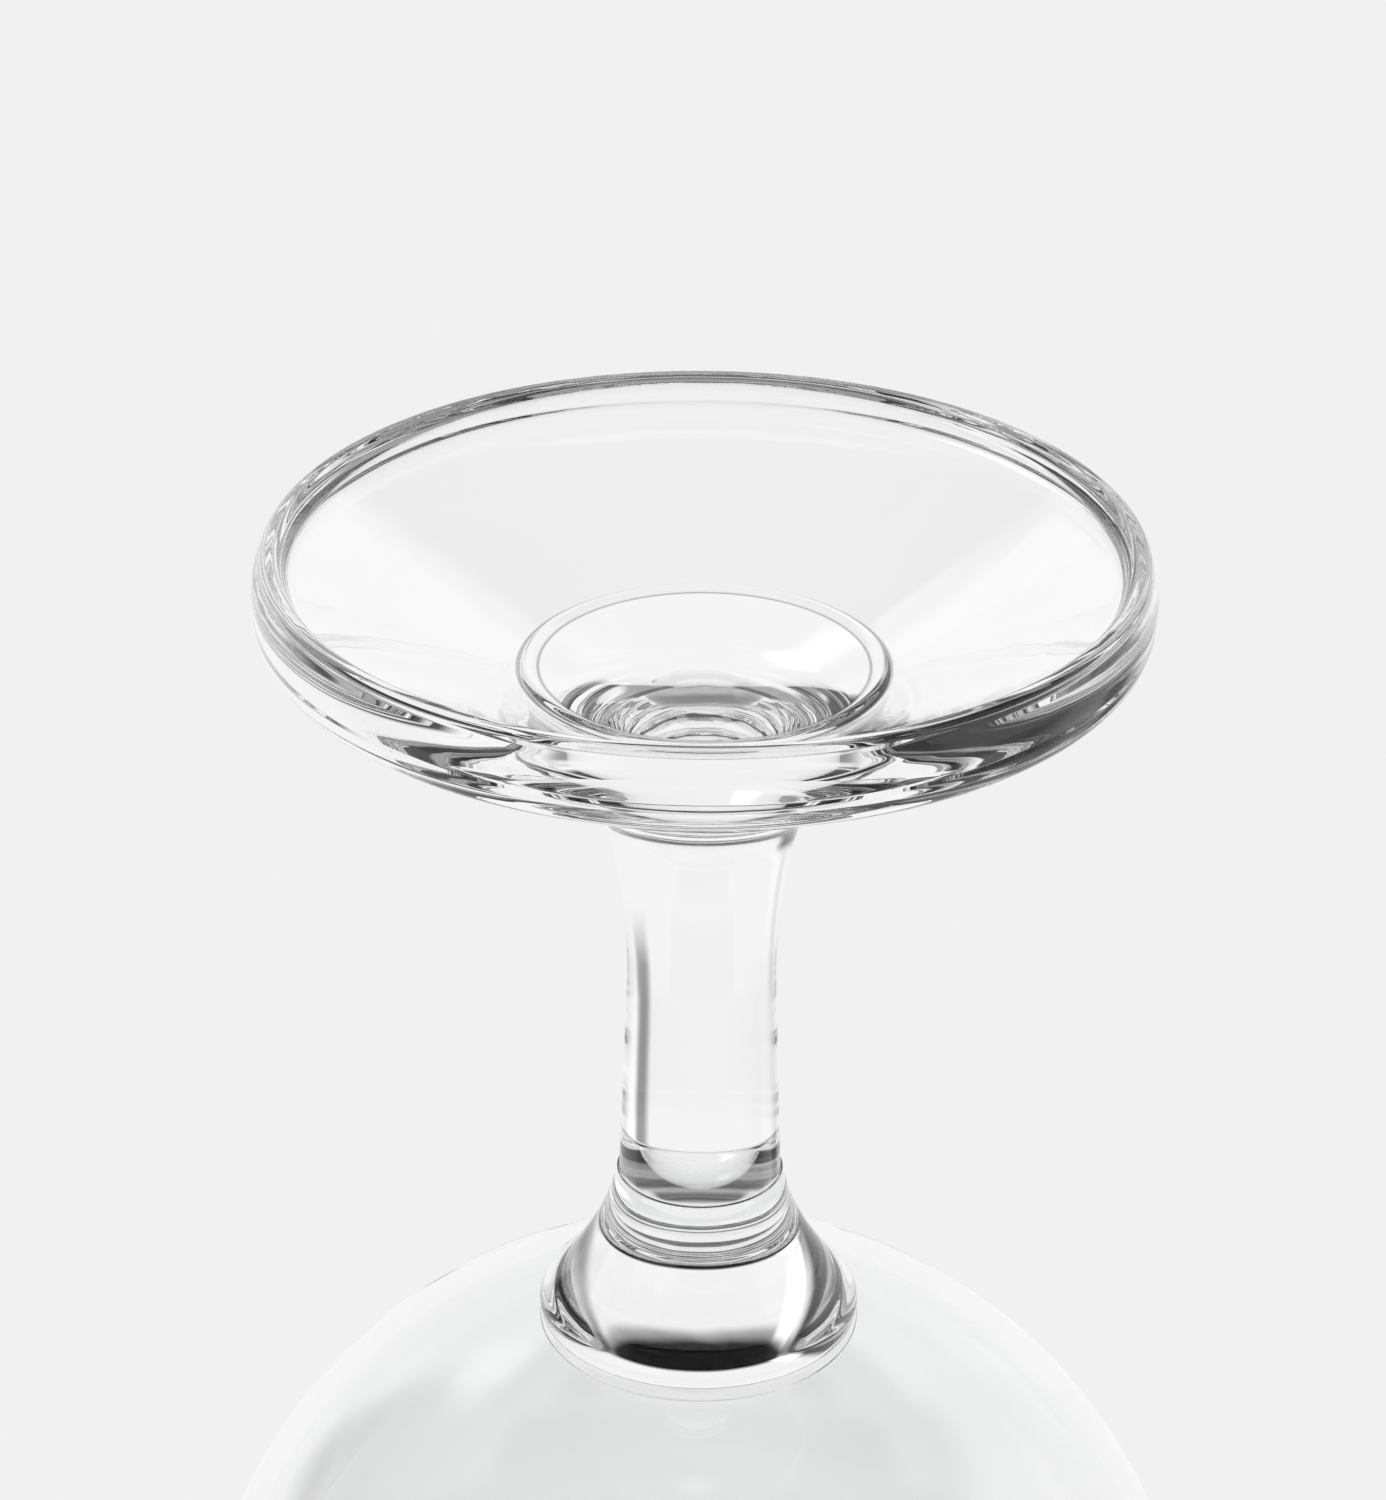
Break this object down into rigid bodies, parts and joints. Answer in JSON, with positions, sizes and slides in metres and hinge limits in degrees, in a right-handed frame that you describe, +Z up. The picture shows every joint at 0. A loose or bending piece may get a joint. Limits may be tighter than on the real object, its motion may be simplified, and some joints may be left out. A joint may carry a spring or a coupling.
{
  "type": "liqueur glass",
  "caption": "Small stemmed drinking glass with a domed foot, a waisted solid stem, a bell-shaped collar and a round thin-walled bowl, for serving a measure of liqueur.",
  "frame": {"origin": "middle of the ring under the foot that the glass stands on", "axes": "+Z up along the glass's axis of symmetry, from the foot to the mouth of the bowl; the glass is round, so X and Y are any two level directions"},
  "size_m": [0.058, 0.058, 0.088],
  "materials": {
    "pressed_glass": "clear pressed glass, fire polished",
    "blown_glass": "clear blown glass, smooth and thin"
  },
  "bodies": {
    "root": {"foot": "pressed_glass", "stem": "pressed_glass", "collar": "pressed_glass", "bowl": "blown_glass"}
  },
  "joints": []
}
